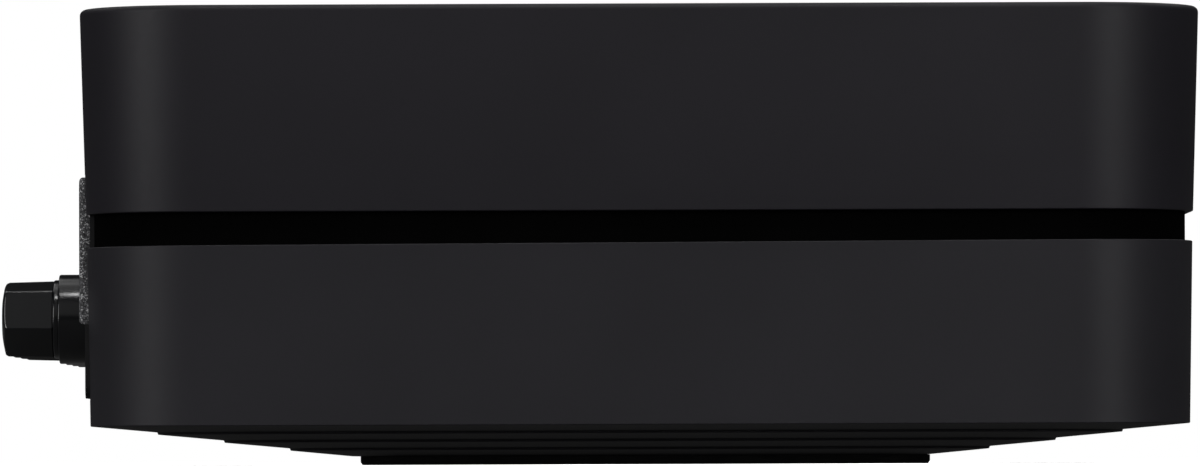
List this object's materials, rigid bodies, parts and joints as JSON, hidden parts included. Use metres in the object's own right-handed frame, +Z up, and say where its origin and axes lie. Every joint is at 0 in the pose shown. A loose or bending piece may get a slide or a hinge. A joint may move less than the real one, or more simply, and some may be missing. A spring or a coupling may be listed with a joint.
{
  "type": "streaming amplifier",
  "caption": "Compact streaming amplifier in a two-part rounded case with a recessed slot round its waist, a terraced underside on a flat foot, and screw-down speaker terminals.",
  "frame": {"origin": "middle of the outer box, in the plane that the foot rests on", "axes": "+X to the right seen from the front, the front looks along -Y, +Z up"},
  "size_m": [0.22, 0.1884, 0.0715],
  "materials": {
    "case_plastic": "fine-grained matte black moulding",
    "frame_plastic": "matte black moulding",
    "foot_rubber": "matte black rubber",
    "panel_plastic": "coarse sparkling grain, black",
    "post_plastic": "gloss black, slightly grained",
    "nickel": "bright nickel plate",
    "steel": "zinc-plated steel",
    "black_steel": "blackened steel",
    "sheet_metal": "plated sheet metal",
    "socket_plastic": "black moulding",
    "laminate": "green solder mask",
    "touch_glass": "black-backed gloss glass",
    "clear_plastic": "clear moulding",
    "aluminium": "extruded, plain",
    "chip_plastic": "moulded package",
    "film_plastic": "red dipped film",
    "can_sleeve": "dark sleeve",
    "ferrite": "dark sintered ferrite",
    "fuse_glass": "glass tube"
  },
  "bodies": {
    "root": {"amplifier_board": "laminate", "amplifier_chips": "chip_plastic", "amplifier_heatsink": "aluminium", "antennas": "laminate", "audio_in_jack": "socket_plastic", "base_foot": "foot_rubber", "board_screws": "steel", "bottom_case": "case_plastic", "bulk_capacitors": "can_sleeve", "case_screws": "steel", "filter_choke": "ferrite", "hdmi_socket": "sheet_metal", "headphone_board": "laminate", "headphone_jack": "socket_plastic", "infrared_in_jack": "socket_plastic", "infrared_receiver": "chip_plastic", "inlet_pins": "nickel", "lan_socket": "socket_plastic", "main_board": "laminate", "mains_fuse": "fuse_glass", "mains_inlet": "socket_plastic", "mains_transformer": "ferrite", "output_capacitors": "film_plastic", "output_inductors": "ferrite", "panel_screws": "black_steel", "post_base_1": "post_plastic", "post_base_2": "post_plastic", "post_base_3": "post_plastic", "post_base_4": "post_plastic", "post_nuts": "nickel", "post_stem_1": "nickel", "post_stem_2": "nickel", "post_stem_3": "nickel", "post_stem_4": "nickel", "power_supply_board": "laminate", "processor_module": "laminate", "processor_shield": "sheet_metal", "radio_module": "sheet_metal", "rear_panel": "panel_plastic", "sub_out_jack": "nickel", "supply_capacitors": "can_sleeve", "supply_heatsink": "aluminium", "supply_transistors": "chip_plastic", "terminal_board": "laminate", "top_cover": "case_plastic", "touch_board": "laminate", "touch_board_spacers": "frame_plastic", "touch_light_guide": "clear_plastic", "touch_window": "touch_glass", "usb_socket": "sheet_metal", "waist_frame": "frame_plastic"},
    "clamp_1": {"clamp_washer_1": "post_plastic"},
    "knob_1": {"post_knob_1": "post_plastic"},
    "clamp_2": {"clamp_washer_2": "post_plastic"},
    "knob_2": {"post_knob_2": "post_plastic"},
    "clamp_3": {"clamp_washer_3": "post_plastic"},
    "knob_3": {"post_knob_3": "post_plastic"},
    "clamp_4": {"clamp_washer_4": "post_plastic"},
    "knob_4": {"post_knob_4": "post_plastic"}
  },
  "joints": [
    {"name": "clamp_1_slide", "type": "slide", "parent": "root", "child": "clamp_1", "axis": [0, 1, 0], "range_m": [0, 0.0045]},
    {"name": "knob_1_turn", "type": "hinge", "parent": "clamp_1", "child": "knob_1", "pos_m": [-0.0775, 0.08737, 0.0232], "axis": [0, 1, 0], "range_deg": [0, 1620]},
    {"name": "clamp_2_slide", "type": "slide", "parent": "root", "child": "clamp_2", "axis": [0, 1, 0], "range_m": [0, 0.0045]},
    {"name": "knob_2_turn", "type": "hinge", "parent": "clamp_2", "child": "knob_2", "pos_m": [-0.05845, 0.08737, 0.0232], "axis": [0, 1, 0], "range_deg": [0, 1620]},
    {"name": "clamp_3_slide", "type": "slide", "parent": "root", "child": "clamp_3", "axis": [0, 1, 0], "range_m": [0, 0.0045]},
    {"name": "knob_3_turn", "type": "hinge", "parent": "clamp_3", "child": "knob_3", "pos_m": [-0.0394, 0.08737, 0.0232], "axis": [0, 1, 0], "range_deg": [0, 1620]},
    {"name": "clamp_4_slide", "type": "slide", "parent": "root", "child": "clamp_4", "axis": [0, 1, 0], "range_m": [0, 0.0045]},
    {"name": "knob_4_turn", "type": "hinge", "parent": "clamp_4", "child": "knob_4", "pos_m": [-0.02035, 0.08737, 0.0232], "axis": [0, 1, 0], "range_deg": [0, 1620]}
  ],
  "couplings": [
    {"joint": "knob_1_turn", "follows": "clamp_1_slide", "rad_per_m": 6283.2},
    {"joint": "knob_2_turn", "follows": "clamp_2_slide", "rad_per_m": 6283.2},
    {"joint": "knob_3_turn", "follows": "clamp_3_slide", "rad_per_m": 6283.2},
    {"joint": "knob_4_turn", "follows": "clamp_4_slide", "rad_per_m": 6283.2}
  ]
}
